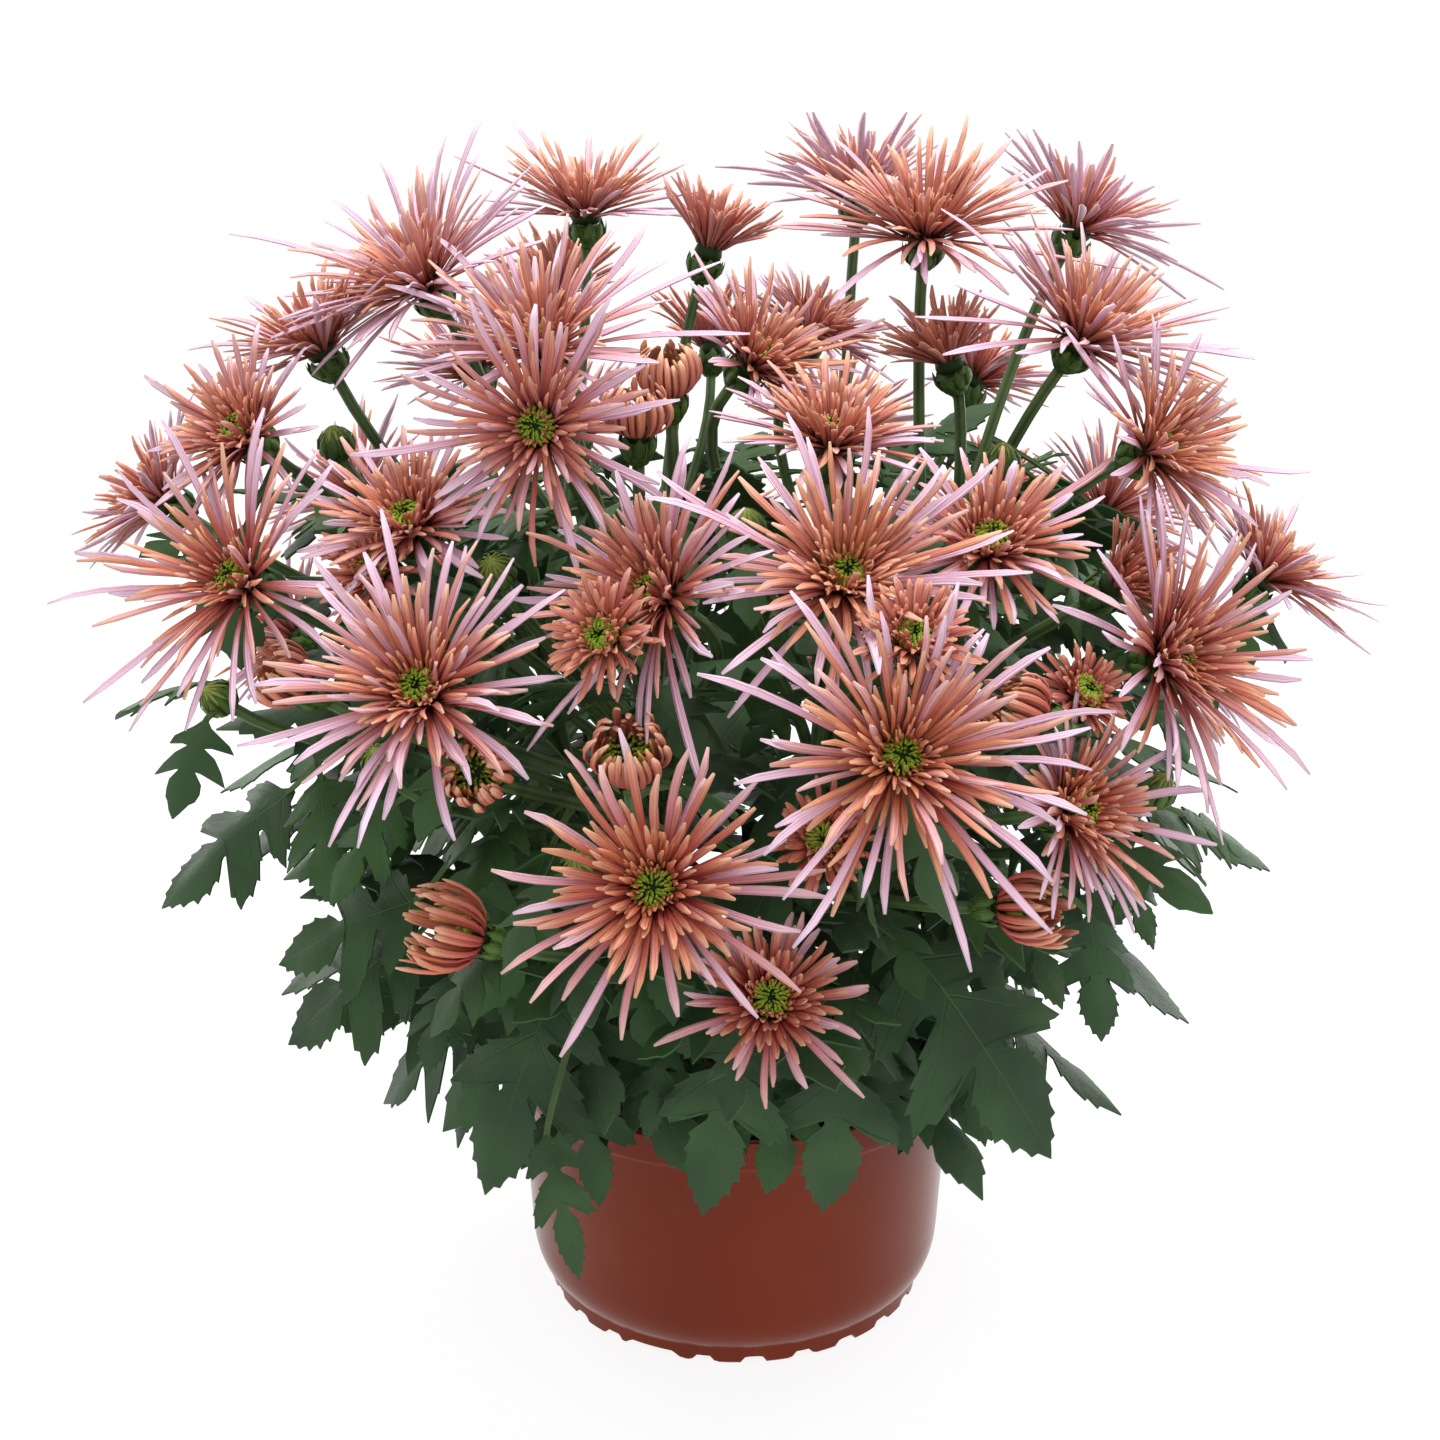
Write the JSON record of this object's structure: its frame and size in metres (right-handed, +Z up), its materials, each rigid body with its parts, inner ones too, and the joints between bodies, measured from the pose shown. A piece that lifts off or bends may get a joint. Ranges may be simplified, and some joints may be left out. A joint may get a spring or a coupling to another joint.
{
  "type": "potted spider chrysanthemum",
  "caption": "Potted spider chrysanthemum: a round plastic grower's pot of peat, leafy branched stems and a dome of flower heads with long narrow rays.",
  "frame": {"origin": "under the pot's axis, on the plane that the pot stands on, in the middle of its flat centre pad", "axes": "+Z up along the pot's axis, -Y towards the viewer of the picture, +X to the viewer's right"},
  "size_m": [0.3642, 0.3979, 0.3699],
  "materials": {
    "pot_plastic": "thin moulded terracotta-brown plastic, slightly glossy",
    "peat": "dark moist peat",
    "leaf_green": "matt dark green leaf with lighter veins, ribbed grey-green stem",
    "ray_pink": "soft satin ray, lilac-pink outside and salmon near the green eye",
    "ray_salmon": "soft satin ray, salmon to orange, still curled inwards",
    "ray_dark": "soft satin ray, dark reddish, half open"
  },
  "bodies": {
    "root": {"pot": "pot_plastic", "soil": "peat", "leafy_stem_1": "leaf_green", "leafy_stem_2": "leaf_green", "leafy_stem_3": "leaf_green", "leafy_stem_4": "leaf_green", "leafy_stem_5": "leaf_green", "leafy_stem_6": "leaf_green", "bloom_01": "ray_pink", "bloom_02": "ray_pink", "bloom_03": "ray_pink", "bloom_04": "ray_pink", "bloom_05": "ray_pink", "bloom_06": "ray_pink", "curled_bloom_07": "ray_salmon", "bloom_08": "ray_pink", "bloom_09": "ray_pink", "dark_bloom_10": "ray_dark", "bloom_11": "ray_pink", "bloom_12": "ray_pink", "bloom_13": "ray_pink", "bloom_14": "ray_pink", "dark_bloom_15": "ray_dark", "bloom_16": "ray_pink", "bloom_17": "ray_pink", "bloom_18": "ray_pink", "bloom_19": "ray_pink", "bloom_20": "ray_pink", "dark_bloom_21": "ray_dark", "bloom_22": "ray_pink", "bloom_23": "ray_pink", "dark_bloom_24": "ray_dark", "bloom_25": "ray_pink", "bloom_26": "ray_pink", "curled_bloom_27": "ray_salmon", "bloom_28": "ray_pink", "bloom_29": "ray_pink", "bloom_30": "ray_pink", "curled_bloom_31": "ray_salmon", "bloom_32": "ray_pink", "curled_bloom_33": "ray_salmon", "bloom_34": "ray_pink", "bloom_35": "ray_pink", "curled_bloom_36": "ray_salmon", "bloom_37": "ray_pink", "bloom_38": "ray_pink", "bloom_39": "ray_pink", "bloom_40": "ray_pink", "bloom_41": "ray_pink", "bloom_42": "ray_pink", "bloom_43": "ray_pink", "dark_bloom_44": "ray_dark", "bloom_45": "ray_pink", "bloom_46": "ray_pink", "bloom_47": "ray_pink", "bloom_48": "ray_pink", "bloom_49": "ray_pink", "bloom_50": "ray_pink", "dark_bloom_51": "ray_dark", "curled_bloom_52": "ray_salmon"}
  },
  "joints": []
}
